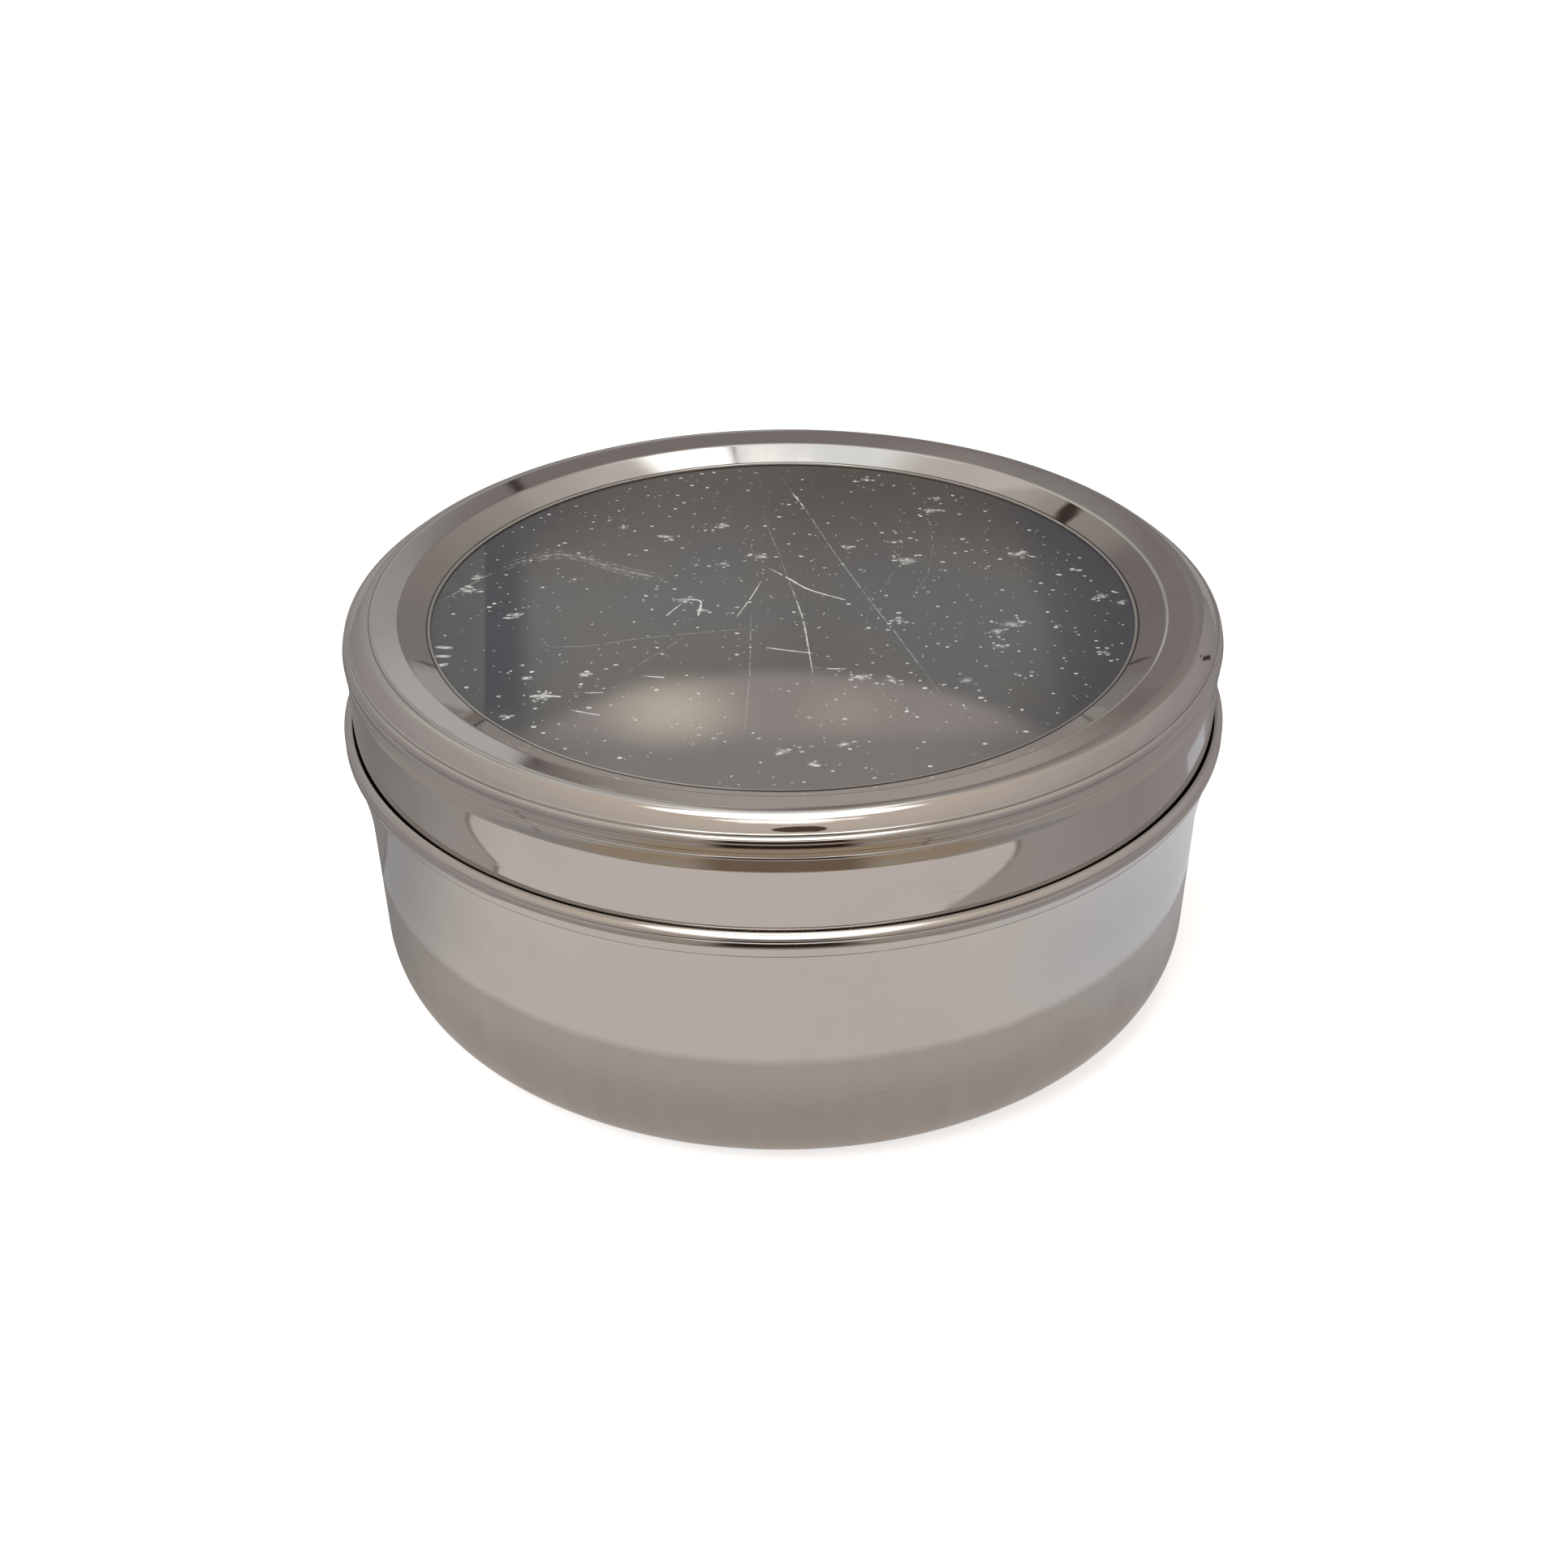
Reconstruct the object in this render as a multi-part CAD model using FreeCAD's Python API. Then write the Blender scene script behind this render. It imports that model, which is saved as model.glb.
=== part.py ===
"""Masala dabba: a round spun-steel spice box with a see-through lid, seven spice cups and two spoons.

Frame: millimetres, +Z up, origin at the centre of the flat base, front of the box towards -Y.
Every sheet-metal piece is a ring section drawn in the X-Z plane and turned once about its own axis.
"""

import FreeCAD
import Part

import math
import os

V = FreeCAD.Vector

# ---- driving dimensions ------------------------------------------------------------------
SHEET = 0.6  # thickness of the box and lid sheet

# Box: a drawn pan whose wall flares into a beaded collar that takes the lid.
BASE_FLAT_R = 84.2
CORNER_R = 13.0
WALL_TOP_R = 97.8
WALL_TOP_Z = 41.0
FLARE_MID_R = 98.6
FLARE_MID_Z = 50.0
FLARE_TOP_R = 100.45
FLARE_TOP_Z = 59.0
SCRIBE_Z = 60.3  # the thin line under the collar
SCRIBE_DEPTH = 0.12
COLLAR_R = 101.1  # the plain band between that line and the beads
COLLAR_OUTER_R = 101.65  # over the two beads
COLLAR_BORE_R = 99.9
BOX_H = 65.7

# Lid: a raised ring round the window, beads, and a skirt that drops inside the collar.
WINDOW_R = 80.15
WINDOW_EDGE_Z = 86.1
CREST_Z = 89.9
BEVEL_R = 97.9  # foot of the bevel outside the crest
BEVEL_Z = 87.2
RIM_R = 99.85  # over the plain band between the beads
SKIRT_R = 99.4
SKIRT_TOP_Z = 79.2
SKIRT_BOTTOM_Z = 57.6
NECK_R = 98.5  # the skirt's narrow neck under the lowest bead
NECK_Z = 81.9

# Window: a clear pane under the lid's opening, held up by a pressed ring.
PANE_R = 93.0
PANE_T = 2.0
PANE_TOP_Z = 85.3
FILM_T = 0.12
RETAINER_INNER_R = 82.0
RETAINER_BAND_H = 8.0
RETAINER_GAP = 0.03  # radial room between the ring and the skirt it is pushed into

# Cups: one in the middle and six round it.
CUP_COUNT = 6
CUP_RING_R = 63.0
CUP_SHEET = 0.5
CUP_H = 44.0
CUP_LIP_R = 31.0
CUP_TOP_R = 30.1
CUP_LOW_R = 28.5
CUP_CORNER_R = 8.0
CUP_FLOOR_GAP = 0.02  # keeps a cup's base off the box floor

# Spoons: a round bowl on a flat handle with a turned-up tip, lying across the cup rims.
SPOON_BOWL_R = 13.0
SPOON_BOWL_DEPTH = 6.5
SPOON_SHEET = 0.9
SPOON_REACH = 92.0  # bowl centre to handle tip
SPOON_NECK_W = 4.6
SPOON_TIP_W = 9.0
SPOON_TIP_RISE = 4.0
SPOON_BEND_X = 62.0  # where the handle starts to turn up
SPOON_GAP = 0.1  # between the handle and the cup rims under it
SPOON_BEARING_DEG = -14.0  # of the first spoon's handle


# ---- drawing helpers ---------------------------------------------------------------------
class Section:
    """A closed outline in the X-Z plane, drawn edge by edge as (radius, height) points."""

    def __init__(self, r, z):
        self.start = V(r, 0, z)
        self.here = self.start
        self.edges = []

    def line(self, r, z):
        end = V(r, 0, z)
        self.edges.append(Part.makeLine(self.here, end))
        self.here = end
        return self

    def arc(self, via, end):
        middle, last = V(via[0], 0, via[1]), V(end[0], 0, end[1])
        self.edges.append(Part.Arc(self.here, middle, last).toShape())
        self.here = last
        return self

    def bead(self, r, z, height):
        """An arc to (r, z), its middle standing height to the left of the straight way there."""
        run = V(r, 0, z) - self.here
        left = V(-run.z, 0, run.x).normalize()
        peak = self.here + run * 0.5 + left * height
        return self.arc((peak.x, peak.z), (r, z))

    def turned(self):
        """The solid made by turning the outline once round Z."""
        if (self.here - self.start).Length > 1e-6:
            self.line(self.start.x, self.start.z)
        face = Part.Face(Part.Wire(self.edges))
        solid = face.revolve(V(0, 0, 0), V(0, 0, 1), 360)
        return as_solid(solid)


def as_solid(shape):
    """One valid solid with its volume positive."""
    solid = shape.Solids[0] if shape.Solids else Part.Solid(shape.Shells[0])
    if solid.Volume < 0:
        solid.reverse()
    return solid


def on_circle(centre, radius, degrees):
    """The point of a circle in the section plane at an angle from +X towards +Z."""
    a = math.radians(degrees)
    return centre[0] + radius * math.cos(a), centre[1] + radius * math.sin(a)


# ---- box ---------------------------------------------------------------------------------
def box_body():
    """The drawn pan: flat base, round corner, near-upright wall, flare, beaded collar, folded lip."""
    wall_low_r = BASE_FLAT_R + CORNER_R
    corner = (BASE_FLAT_R, CORNER_R)
    inner_corner_r = CORNER_R - SHEET
    roll_r = 1.3
    roll = (COLLAR_OUTER_R - roll_r, BOX_H - roll_r)
    groove_r = COLLAR_OUTER_R - 0.7
    groove_z = BOX_H - 1.85
    s = Section(0, 0)
    s.line(BASE_FLAT_R, 0)
    s.arc(on_circle(corner, CORNER_R, -45), (wall_low_r, CORNER_R))
    s.line(WALL_TOP_R, WALL_TOP_Z)
    s.arc((FLARE_MID_R, FLARE_MID_Z), (FLARE_TOP_R, FLARE_TOP_Z))
    s.line(COLLAR_R - 0.25, SCRIBE_Z - 0.12)
    s.bead(COLLAR_R - 0.22, SCRIBE_Z + 0.12, SCRIBE_DEPTH)
    s.line(COLLAR_R, groove_z - 1.55)
    s.line(COLLAR_OUTER_R, groove_z - 1.35)
    s.arc((COLLAR_OUTER_R - 0.22, groove_z - 0.62), (groove_r, groove_z))
    s.line(*on_circle(roll, roll_r, 10))
    s.arc(on_circle(roll, roll_r, 48), on_circle(roll, roll_r, 87))
    s.arc((COLLAR_BORE_R + 0.13, BOX_H - 0.15), (COLLAR_BORE_R, BOX_H - 0.5))
    s.line(COLLAR_BORE_R, BOX_H - 3.8)
    s.line(FLARE_TOP_R - SHEET, FLARE_TOP_Z)
    s.arc((FLARE_MID_R - SHEET, FLARE_MID_Z), (WALL_TOP_R - SHEET, WALL_TOP_Z))
    s.line(wall_low_r - SHEET, CORNER_R)
    s.arc(on_circle(corner, inner_corner_r, -45), (BASE_FLAT_R, SHEET))
    s.line(0, SHEET)
    return s.turned()


# ---- lid ---------------------------------------------------------------------------------
def lid_frame():
    """The lid's one-piece steel ring: window edge, sloping ring, crest, bevel, beads, neck, skirt."""
    edge_mid_z = WINDOW_EDGE_Z - SHEET / 2
    inner_r = SKIRT_R - SHEET
    s = Section(WINDOW_R + SHEET / 2, WINDOW_EDGE_Z - SHEET)
    s.arc((WINDOW_R, edge_mid_z), (WINDOW_R + SHEET / 2, WINDOW_EDGE_Z))
    s.line(WINDOW_R + 0.8, WINDOW_EDGE_Z - 0.1)  # the crease behind the rolled edge
    s.line(86.7, 88.62)  # the steeper inner slope
    s.arc((87.05, 88.74), (87.4, 88.82))
    s.line(93.4, CREST_Z - 0.02)  # the nearly level face
    s.arc((94.4, CREST_Z - 0.06), (95.2, CREST_Z - 0.45))  # the crest
    s.bead(BEVEL_R, BEVEL_Z, 0.05)  # the faintly rounded bevel
    s.bead(BEVEL_R + 0.45, BEVEL_Z - 0.55, 0.15)
    s.arc((RIM_R - 0.73, BEVEL_Z - 0.93), (RIM_R - 0.37, BEVEL_Z - 1.65))  # the round bead
    s.line(RIM_R - 0.55, BEVEL_Z - 1.8)
    s.line(RIM_R - 0.2, BEVEL_Z - 2.0)
    s.line(RIM_R, BEVEL_Z - 3.0)  # the plain band
    s.line(RIM_R - 0.7, BEVEL_Z - 3.65)
    s.line(RIM_R - 0.5, BEVEL_Z - 4.45)
    s.arc((RIM_R - 0.27, BEVEL_Z - 4.7), (RIM_R - 0.16, BEVEL_Z - 5.06))  # the small bead
    s.line(NECK_R, NECK_Z)
    s.bead(SKIRT_R - 0.05, SKIRT_TOP_Z + 0.2, -0.03)  # the neck, faintly hollow
    s.line(SKIRT_R, SKIRT_TOP_Z)
    s.line(SKIRT_R, SKIRT_BOTTOM_Z + SHEET / 2)
    s.arc((SKIRT_R - SHEET / 2, SKIRT_BOTTOM_Z), (inner_r, SKIRT_BOTTOM_Z + SHEET / 2))
    s.line(inner_r, SKIRT_TOP_Z)
    s.line(NECK_R - SHEET, NECK_Z - 0.1)
    s.line(RIM_R - 1.35, BEVEL_Z - 3.8)
    s.line(RIM_R - 1.35, BEVEL_Z - 1.6)
    s.line(BEVEL_R - 0.35, BEVEL_Z - 0.5)
    s.line(94.85, CREST_Z - 0.93)
    s.arc((94.15, CREST_Z - 0.66), (93.35, CREST_Z - 0.62))
    s.line(87.55, 88.24)
    s.line(86.9, 88.06)
    return s.turned()


def window_pane():
    """The clear disc, its edge broken all round."""
    low_z = PANE_TOP_Z - PANE_T
    bevel = 0.3
    s = Section(0, low_z)
    s.line(PANE_R - bevel, low_z)
    s.line(PANE_R, low_z + bevel)
    s.line(PANE_R, PANE_TOP_Z - bevel)
    s.line(PANE_R - bevel, PANE_TOP_Z)
    s.line(0, PANE_TOP_Z)
    return s.turned()


def protective_film():
    """The thin peel-off film on the pane's top face, trimmed just under the lid's opening."""
    low_z = PANE_TOP_Z + 0.01
    s = Section(0, low_z)
    s.line(WINDOW_R + 1.2, low_z)
    s.line(WINDOW_R + 1.2, low_z + FILM_T)
    s.line(0, low_z + FILM_T)
    return s.turned()


def window_retainer():
    """The pressed ring under the pane: a flat seat and a band that grips the skirt's bore."""
    outer_r = SKIRT_R - SHEET - RETAINER_GAP
    top_z = PANE_TOP_Z - PANE_T - 0.02
    top_r = outer_r - 1.4  # turned in at the top to pass the neck
    band_top_z = top_z - 5.0
    low_z = band_top_z - RETAINER_BAND_H
    s = Section(RETAINER_INNER_R, top_z - SHEET)
    s.arc((RETAINER_INNER_R - SHEET / 2, top_z - SHEET / 2), (RETAINER_INNER_R, top_z))
    s.line(top_r - 1.2, top_z)
    s.arc((top_r - 0.35, top_z - 0.35), (top_r, top_z - 1.2))
    s.line(outer_r, band_top_z)
    s.line(outer_r, low_z)
    s.line(outer_r - SHEET, low_z)
    s.line(outer_r - SHEET, band_top_z)
    s.line(top_r - SHEET, top_z - 1.2)
    s.line(top_r - 1.2, top_z - SHEET)
    return s.turned()


# ---- cups --------------------------------------------------------------------------------
def spice_cup(x, y):
    """One cup at (x, y): flat base, round corner, slightly tapered wall and a rolled lip."""
    floor_z = SHEET + CUP_FLOOR_GAP
    flat_r = CUP_LOW_R - CUP_CORNER_R
    corner = (flat_r, floor_z + CUP_CORNER_R)
    top_z = floor_z + CUP_H
    lip_t = CUP_LIP_R - CUP_TOP_R
    s = Section(0, floor_z)
    s.line(flat_r, floor_z)
    s.arc(on_circle(corner, CUP_CORNER_R, -45), (CUP_LOW_R, corner[1]))
    s.line(CUP_TOP_R, top_z - 2.4)
    s.arc((CUP_LIP_R, top_z - 1.2), (CUP_TOP_R, top_z))
    s.arc((CUP_TOP_R - lip_t * 0.6, top_z - 0.35), (CUP_TOP_R - CUP_SHEET, top_z - 1.3))
    s.line(CUP_LOW_R - CUP_SHEET, corner[1])
    s.arc(on_circle(corner, CUP_CORNER_R - CUP_SHEET, -45), (flat_r, floor_z + CUP_SHEET))
    s.line(0, floor_z + CUP_SHEET)
    cup = s.turned()
    cup.translate(V(x, y, 0))
    return cup


def ring_place(index):
    """Centre of ring cup number index, counted anticlockwise from the cup at the front."""
    angle = math.radians(-90 + index * 360 / CUP_COUNT)
    return CUP_RING_R * math.cos(angle), CUP_RING_R * math.sin(angle)


# ---- spoons ------------------------------------------------------------------------------
def spoon_bowl():
    """A round cap of sheet, open upwards, its rim in the plane z = SPOON_SHEET."""
    sphere_r = (SPOON_BOWL_R**2 + SPOON_BOWL_DEPTH**2) / (2 * SPOON_BOWL_DEPTH)
    centre_z = SPOON_SHEET + sphere_r - SPOON_BOWL_DEPTH
    outer = Part.makeSphere(sphere_r, V(0, 0, centre_z))
    inner = Part.makeSphere(sphere_r - SPOON_SHEET, V(0, 0, centre_z))
    below_rim = Part.makeCylinder(2 * sphere_r, 2 * sphere_r, V(0, 0, SPOON_SHEET - 2 * sphere_r))
    return outer.cut(inner).common(below_rim)


def spoon_handle():
    """A flat strip along +X that widens to a round tip and turns up towards it."""
    root_x = SPOON_BOWL_R - 1.0
    tip_r = SPOON_TIP_W / 2
    tip_x = SPOON_REACH - tip_r
    neck = SPOON_NECK_W / 2
    plan = Part.Wire(
        [
            Part.makeLine(V(root_x, neck, 0), V(root_x, -neck, 0)),
            Part.makeLine(V(root_x, -neck, 0), V(tip_x, -tip_r, 0)),
            Part.Arc(V(tip_x, -tip_r, 0), V(SPOON_REACH, 0, 0), V(tip_x, tip_r, 0)).toShape(),
            Part.makeLine(V(tip_x, tip_r, 0), V(root_x, neck, 0)),
        ]
    )
    blank = Part.Face(plan).extrude(V(0, 0, SPOON_TIP_RISE + 2 * SPOON_SHEET))
    half_bend_x = (SPOON_BEND_X + SPOON_REACH) / 2
    half_rise = SPOON_TIP_RISE / 4  # a turn-up that starts level is a quarter up at half way
    side = Section(root_x, 0)
    side.line(SPOON_BEND_X, 0)
    side.arc((half_bend_x, half_rise), (SPOON_REACH, SPOON_TIP_RISE))
    side.line(SPOON_REACH, SPOON_TIP_RISE + SPOON_SHEET)
    side.arc((half_bend_x, half_rise + SPOON_SHEET), (SPOON_BEND_X, SPOON_SHEET))
    side.line(root_x, SPOON_SHEET)
    side.line(root_x, 0)
    strip = Part.Face(Part.Wire(side.edges)).extrude(V(0, SPOON_TIP_W, 0))
    strip.translate(V(0, -SPOON_TIP_W / 2, 0))
    return blank.common(strip)


def spoon(x, y, bearing_deg):
    """A spoon with its bowl centred over (x, y) and its handle along the bearing from +X."""
    whole = spoon_bowl().fuse(spoon_handle()).removeSplitter()
    rest_z = SHEET + CUP_FLOOR_GAP + CUP_H + SPOON_GAP
    whole.rotate(V(0, 0, 0), V(0, 0, 1), bearing_deg)
    whole.translate(V(x, y, rest_z))
    return as_solid(whole)


# ---- assembly ----------------------------------------------------------------------------
def build():
    """Every piece by node name."""
    nodes = {
        "box_body": box_body(),
        "lid_frame": lid_frame(),
        "window_pane": window_pane(),
        "protective_film": protective_film(),
        "window_retainer": window_retainer(),
        "spice_cup_centre": spice_cup(0, 0),
    }
    for index in range(CUP_COUNT):
        nodes[f"spice_cup_{index + 1}"] = spice_cup(*ring_place(index))
    left_back, right_front = ring_place(4), ring_place(1)
    nodes["spice_spoon_left"] = spoon(*left_back, SPOON_BEARING_DEG)
    nodes["spice_spoon_right"] = spoon(*right_front, SPOON_BEARING_DEG + 180)
    return nodes


os.makedirs("parts", exist_ok=True)
for name, shape in build().items():
    print(name, "valid", shape.isValid(), "solids", len(shape.Solids), "mm3", round(shape.Volume, 1))
    shape.exportStep(f"parts/{name}.step")
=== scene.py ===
"""Looks of a round steel spice box: box, see-through lid, seven cups and two spoons.

Every piece is rebuilt here at a finer grain than the frame, in metres and in the frame's own axes.
Outlines are written in millimetres as (radius, height) and turned about Z.
"""

import math
import random

import bmesh
import bpy
from mathutils import Matrix, Vector, noise


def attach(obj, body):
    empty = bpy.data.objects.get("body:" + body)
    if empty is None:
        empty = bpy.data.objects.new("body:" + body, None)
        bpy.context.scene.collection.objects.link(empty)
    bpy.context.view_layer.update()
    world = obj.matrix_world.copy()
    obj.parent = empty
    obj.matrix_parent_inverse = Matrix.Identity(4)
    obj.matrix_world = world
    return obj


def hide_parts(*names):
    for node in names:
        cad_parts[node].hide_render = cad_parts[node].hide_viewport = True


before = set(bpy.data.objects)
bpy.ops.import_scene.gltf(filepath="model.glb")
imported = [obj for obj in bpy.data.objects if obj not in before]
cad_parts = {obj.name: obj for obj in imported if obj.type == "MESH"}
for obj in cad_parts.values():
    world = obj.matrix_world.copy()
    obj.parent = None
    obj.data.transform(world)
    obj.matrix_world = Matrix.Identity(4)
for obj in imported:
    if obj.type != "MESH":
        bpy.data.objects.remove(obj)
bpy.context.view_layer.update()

MM = 0.001
SHEET = 0.6
SATIN_ROUGH = 0.34
TURN_STEPS = 288
CUP_STEPS = 128

WINDOW_R = 80.15
PANE_R = 93.0
PANE_LOW_Z = 83.3
PANE_TOP_Z = 85.3
FILM_R = WINDOW_R + 1.2
FILM_LOW_Z = PANE_TOP_Z + 0.01
FILM_TOP_Z = 85.43
COLLAR_ROLL = (100.35, 64.4)
COLLAR_ROLL_R = 1.3
CUP_COUNT = 6
CUP_RING_R = 63.0
CUP_FLOOR_Z = 0.62
CUP_H = 44.0


# ---- outlines ----------------------------------------------------------------------------
class Outline:
    """A run of (radius, height) points in millimetres, with straight, arc and bead pieces."""

    def __init__(self, r, z):
        self.points = [(r, z)]

    def line(self, r, z, grain=4.0):
        """A straight piece, with a point close to each end so that smooth shading stays flat."""
        r0, z0 = self.points[-1]
        length = math.hypot(r - r0, z - z0)
        near = min(0.25, 0.3 * length) / length
        steps = max(1, int(length / grain))
        shares = [near + (1 - 2 * near) * i / steps for i in range(steps + 1)] + [1.0]
        self.points += [(r0 + (r - r0) * t, z0 + (z - z0) * t) for t in shares]

    def arc(self, via, end, steps=10):
        """The circular arc through via to end."""
        (ax, ay), (bx, by), (cx, cy) = self.points[-1], via, end
        d = 2 * (ax * (by - cy) + bx * (cy - ay) + cx * (ay - by))
        aa, bb, cc = ax * ax + ay * ay, bx * bx + by * by, cx * cx + cy * cy
        ox = (aa * (by - cy) + bb * (cy - ay) + cc * (ay - by)) / d
        oy = (aa * (cx - bx) + bb * (ax - cx) + cc * (bx - ax)) / d
        radius = math.hypot(ax - ox, ay - oy)
        start = math.atan2(ay - oy, ax - ox)
        to_via = (math.atan2(by - oy, bx - ox) - start) % math.tau
        sweep = (math.atan2(cy - oy, cx - ox) - start) % math.tau
        if to_via > sweep:
            sweep -= math.tau
        for i in range(1, steps + 1):
            a = start + sweep * i / steps
            self.points.append((ox + radius * math.cos(a), oy + radius * math.sin(a)))

    def bead(self, r, z, height, steps=12):
        """An arc to (r, z), its middle standing height to the left of the straight way there."""
        r0, z0 = self.points[-1]
        dr, dz = r - r0, z - z0
        length = math.hypot(dr, dz)
        middle = ((r0 + r) / 2 - dz / length * height, (z0 + z) / 2 + dr / length * height)
        self.arc(middle, (r, z), steps)


def on_circle(centre, radius, degrees):
    """The point of a circle in the outline's plane, its angle taken from +radius towards +height."""
    a = math.radians(degrees)
    return centre[0] + radius * math.cos(a), centre[1] + radius * math.sin(a)


def finish_mesh(name, verts, faces, sharp_deg):
    """A smooth-shaded object with outward faces and its sharp edges kept."""
    mesh = bpy.data.meshes.new(name)
    mesh.from_pydata(verts, [], faces)
    bm = bmesh.new()
    bm.from_mesh(mesh)
    bmesh.ops.recalc_face_normals(bm, faces=bm.faces)
    if bm.calc_volume(signed=True) < 0:
        bmesh.ops.reverse_faces(bm, faces=bm.faces)
    bm.to_mesh(mesh)
    bm.free()
    mesh.shade_smooth()
    mesh.set_sharp_from_angle(angle=math.radians(sharp_deg))
    obj = bpy.data.objects.new(name, mesh)
    bpy.context.scene.collection.objects.link(obj)
    return obj


def lathe(name, points, steps=TURN_STEPS, sharp_deg=32.0):
    """A closed mesh made by turning an outline once about Z. Points at radius 0 become poles."""
    loop = [p for i, p in enumerate(points) if i == 0 or math.dist(p, points[i - 1]) > 1e-4]
    if math.dist(loop[0], loop[-1]) < 1e-4:
        loop.pop()
    is_ring = loop[0][0] > 1e-9
    verts, rows = [], []
    for r, z in loop:
        if r < 1e-9:
            rows.append([len(verts)] * steps)
            verts.append((0.0, 0.0, z * MM))
            continue
        rows.append(list(range(len(verts), len(verts) + steps)))
        for i in range(steps):
            a = math.tau * i / steps
            verts.append((r * MM * math.cos(a), r * MM * math.sin(a), z * MM))
    faces = []
    for low, high in list(zip(rows, rows[1:])) + ([(rows[-1], rows[0])] if is_ring else []):
        for i in range(steps):
            j = (i + 1) % steps
            corners = [low[i], low[j], high[j], high[i]]
            faces.append([c for k, c in enumerate(corners) if c not in corners[:k]])
    return finish_mesh(name, verts, faces, sharp_deg)


def hand_worked(obj, amount_mm, scale_mm, seed):
    """Pushes a mesh's points along their normals by a smooth, shallow, repeatable unevenness."""
    shift = Vector((seed * 3.1, seed * 1.7, seed * 2.3))
    moves = []
    for v in obj.data.vertices:
        where = v.co / (scale_mm * MM) + shift
        moves.append(v.normal * noise.noise(where) * amount_mm * MM)
    for v, move in zip(obj.data.vertices, moves):
        v.co += move
    return obj


# ---- node materials ----------------------------------------------------------------------
class Shader:
    """A material's node tree, built with short calls."""

    def __init__(self, tree):
        self.tree = tree
        self.tree.nodes.clear()

    @classmethod
    def named(cls, name):
        """The tree of a new material."""
        material = bpy.data.materials.new(name)
        material.use_nodes = True
        shader = cls(material.node_tree)
        shader.material = material
        return shader

    def node(self, kind, **settings):
        made = self.tree.nodes.new(kind)
        for key, value in settings.items():
            setattr(made, key, value)
        return made

    def plug(self, socket, value):
        """Joins a socket, or sets its value."""
        if isinstance(value, bpy.types.NodeSocket):
            self.tree.links.new(value, socket)
        elif isinstance(value, tuple) and len(value) == 3 and socket.type == "RGBA":
            socket.default_value = (*value, 1.0)
        else:
            socket.default_value = value

    def maths(self, operation, *values):
        made = self.node("ShaderNodeMath", operation=operation)
        for socket, value in zip(made.inputs, values):
            self.plug(socket, value)
        return made.outputs[0]

    def product(self, *values):
        """Several values multiplied together."""
        result = values[0]
        for value in values[1:]:
            result = self.maths("MULTIPLY", result, value)
        return result

    def hypot(self, x, y):
        """The distance of (x, y) from nought."""
        return self.maths("SQRT", self.maths("ADD", self.product(x, x), self.product(y, y)))

    def ease(self, value, low, high, to_low=0.0, to_high=1.0):
        """Smoothly carries value from low..high to to_low..to_high."""
        made = self.node("ShaderNodeMapRange", interpolation_type="SMOOTHSTEP")
        for key, item in zip(range(5), (value, low, high, to_low, to_high)):
            self.plug(made.inputs[key], item)
        return made.outputs[0]

    def ramp(self, value, low, high, stops):
        """A smooth run of colours; stops are (value, colour) between low and high."""
        made = self.node("ShaderNodeValToRGB")
        scaled = self.maths("DIVIDE", self.maths("SUBTRACT", value, low), high - low)
        self.plug(made.inputs[0], scaled)
        run = made.color_ramp
        run.interpolation = "EASE"
        while len(run.elements) < len(stops):
            run.elements.new(1.0)
        for element, (at, colour) in zip(run.elements, stops):
            element.position = (at - low) / (high - low)
            element.color = (*colour, 1.0)
        return made.outputs[0]

    def inside(self, value, middle, half, soft):
        """1 where value is within half of middle, with soft edges."""
        away = self.maths("ABSOLUTE", self.maths("SUBTRACT", value, middle))
        return self.ease(away, half + soft, half - soft)

    def mix_colour(self, share, first, second):
        made = self.node("ShaderNodeMix", data_type="RGBA")
        self.plug(made.inputs[0], share)
        self.plug(made.inputs[6], first)
        self.plug(made.inputs[7], second)
        return made.outputs[2]

    def mix_shader(self, share, first, second):
        made = self.node("ShaderNodeMixShader")
        for socket, value in zip(made.inputs, (share, first, second)):
            self.plug(socket, value)
        return made.outputs[0]

    def noise(self, vector, scale, detail=2.0, roughness=0.5):
        made = self.node("ShaderNodeTexNoise")
        self.plug(made.inputs["Vector"], vector)
        self.plug(made.inputs["Scale"], scale)
        self.plug(made.inputs["Detail"], detail)
        self.plug(made.inputs["Roughness"], roughness)
        return made.outputs["Fac"]

    def vector(self, x, y, z):
        made = self.node("ShaderNodeCombineXYZ")
        for socket, value in zip(made.inputs, (x, y, z)):
            self.plug(socket, value)
        return made.outputs[0]

    def split(self, vector):
        made = self.node("ShaderNodeSeparateXYZ")
        self.plug(made.inputs[0], vector)
        return made.outputs

    def object_point(self):
        return self.node("ShaderNodeTexCoord").outputs["Object"]

    def round_point(self, around, across):
        """Object space as (angle, radius, height), scaled so that noise draws rings about Z."""
        x, y, z = self.split(self.object_point())
        angle = self.maths("ARCTAN2", y, x)
        radius = self.hypot(x, y)
        return self.vector(self.product(angle, around), self.product(radius, across), self.product(z, across))

    def bump(self, height, strength, distance_mm):
        made = self.node("ShaderNodeBump")
        self.plug(made.inputs["Height"], height)
        self.plug(made.inputs["Strength"], strength)
        self.plug(made.inputs["Distance"], distance_mm * MM)
        return made.outputs[0]

    def principled(self, **inputs):
        made = self.node("ShaderNodeBsdfPrincipled")
        for key, value in inputs.items():
            self.plug(made.inputs[key.replace("_", " ")], value)
        return made.outputs[0]

    def finish(self, surface):
        self.plug(self.node("ShaderNodeOutputMaterial").inputs["Surface"], surface)
        return self.material


def darker(tint, shares):
    """A tint with each channel multiplied by its own share."""
    return tuple(channel * share for channel, share in zip(tint, shares))


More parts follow.
